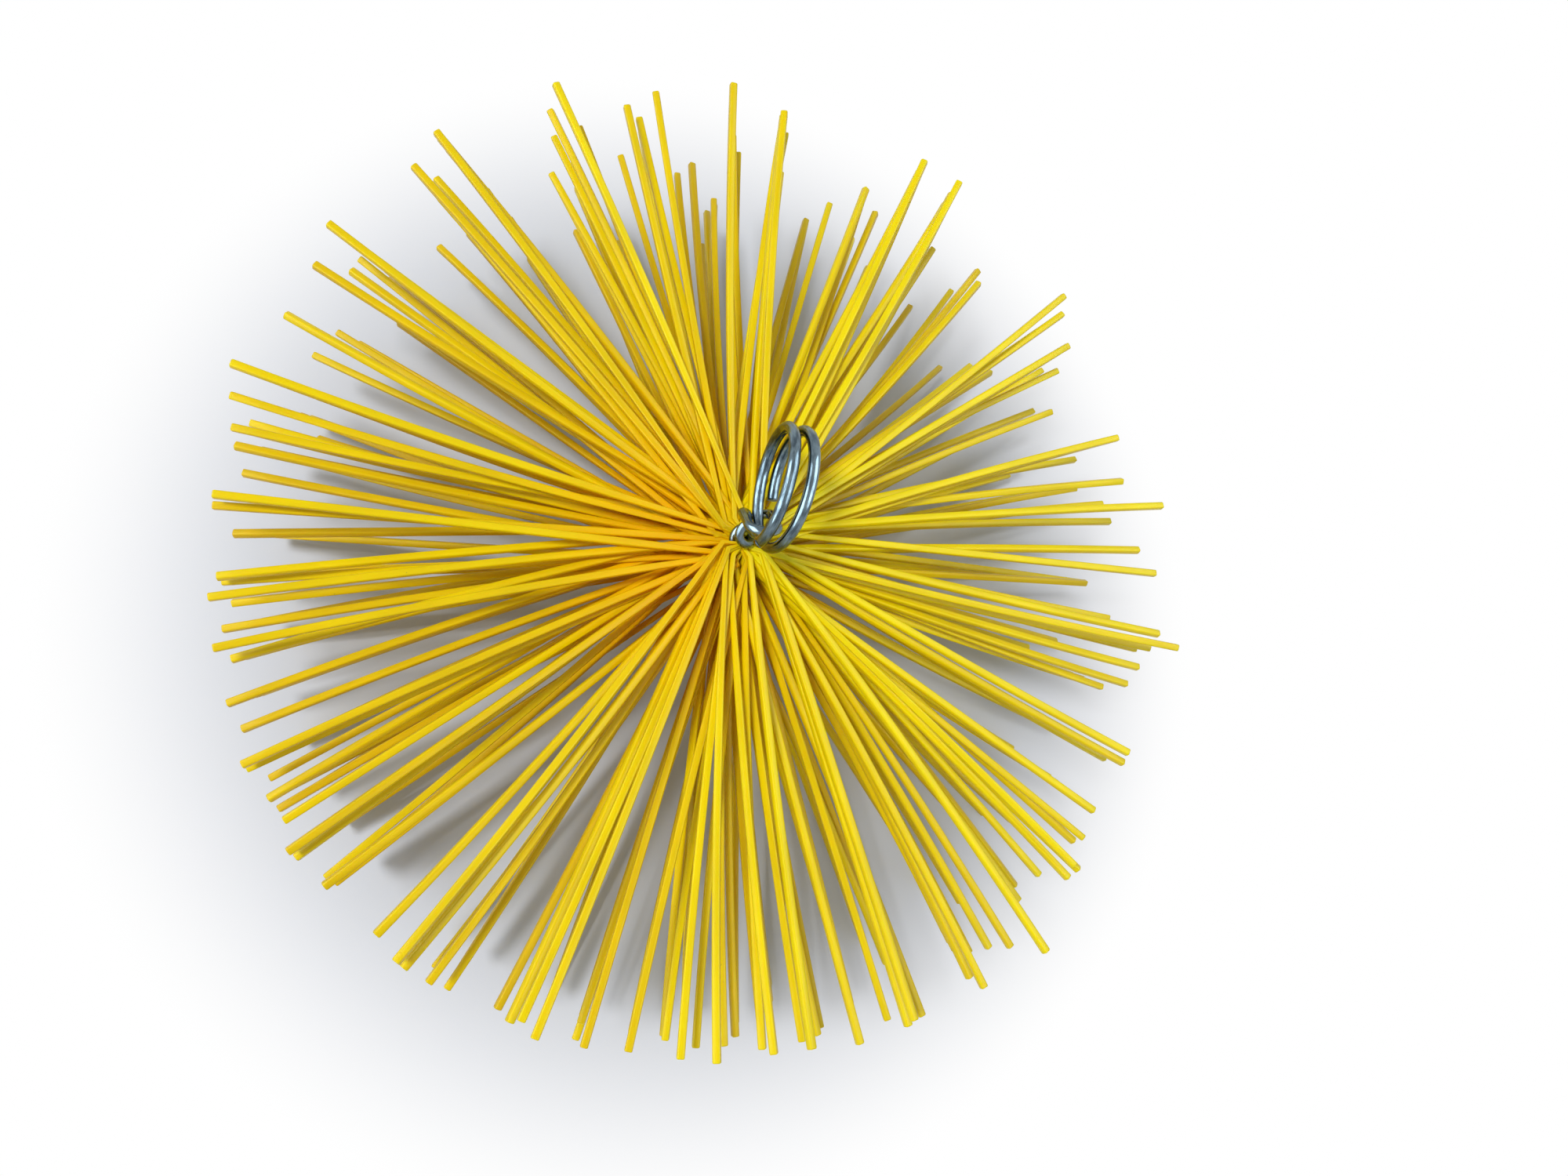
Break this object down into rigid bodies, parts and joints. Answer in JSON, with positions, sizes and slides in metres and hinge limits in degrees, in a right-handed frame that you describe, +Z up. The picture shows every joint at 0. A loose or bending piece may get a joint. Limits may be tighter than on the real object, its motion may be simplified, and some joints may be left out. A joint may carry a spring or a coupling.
{
  "type": "chimney sweep brush",
  "caption": "Round chimney sweep brush: stiff plastic bristles in a wide umbrella on a short twisted wire stem, with a split ring through its top eye.",
  "frame": {"origin": "on the stem's axis, level with the lowest bristle tips, which are the middle and bottom of the box", "axes": "+Z up along the twisted stem, from its cut ends to the eye with the split ring; +Y is the way the ring leans at rest; +X is the axis that the ring swings about"},
  "size_m": [0.25, 0.25, 0.1203],
  "materials": {
    "yellow_bristle": "satin yellow polypropylene filament",
    "galvanised_wire": "bright galvanised wire",
    "ring_steel": "bright plated wire"
  },
  "bodies": {
    "brush": {"bristle_tuft_a01": "yellow_bristle", "bristle_tuft_a02": "yellow_bristle", "bristle_tuft_a03": "yellow_bristle", "bristle_tuft_a04": "yellow_bristle", "bristle_tuft_a05": "yellow_bristle", "bristle_tuft_a06": "yellow_bristle", "bristle_tuft_a07": "yellow_bristle", "bristle_tuft_a08": "yellow_bristle", "bristle_tuft_a09": "yellow_bristle", "bristle_tuft_a10": "yellow_bristle", "bristle_tuft_b01": "yellow_bristle", "bristle_tuft_b02": "yellow_bristle", "bristle_tuft_b03": "yellow_bristle", "bristle_tuft_b04": "yellow_bristle", "bristle_tuft_b05": "yellow_bristle", "bristle_tuft_b06": "yellow_bristle", "bristle_tuft_b07": "yellow_bristle", "bristle_tuft_b08": "yellow_bristle", "bristle_tuft_b09": "yellow_bristle", "bristle_tuft_b10": "yellow_bristle", "twisted_wire_stem": "galvanised_wire"},
    "ring": {"split_ring": "ring_steel"}
  },
  "joints": [
    {"name": "ring_swing", "type": "hinge", "parent": "brush", "child": "ring", "pos_m": [0, -0.00448, 0.09874], "axis": [1, 0, 0], "range_deg": [0, 110]}
  ]
}
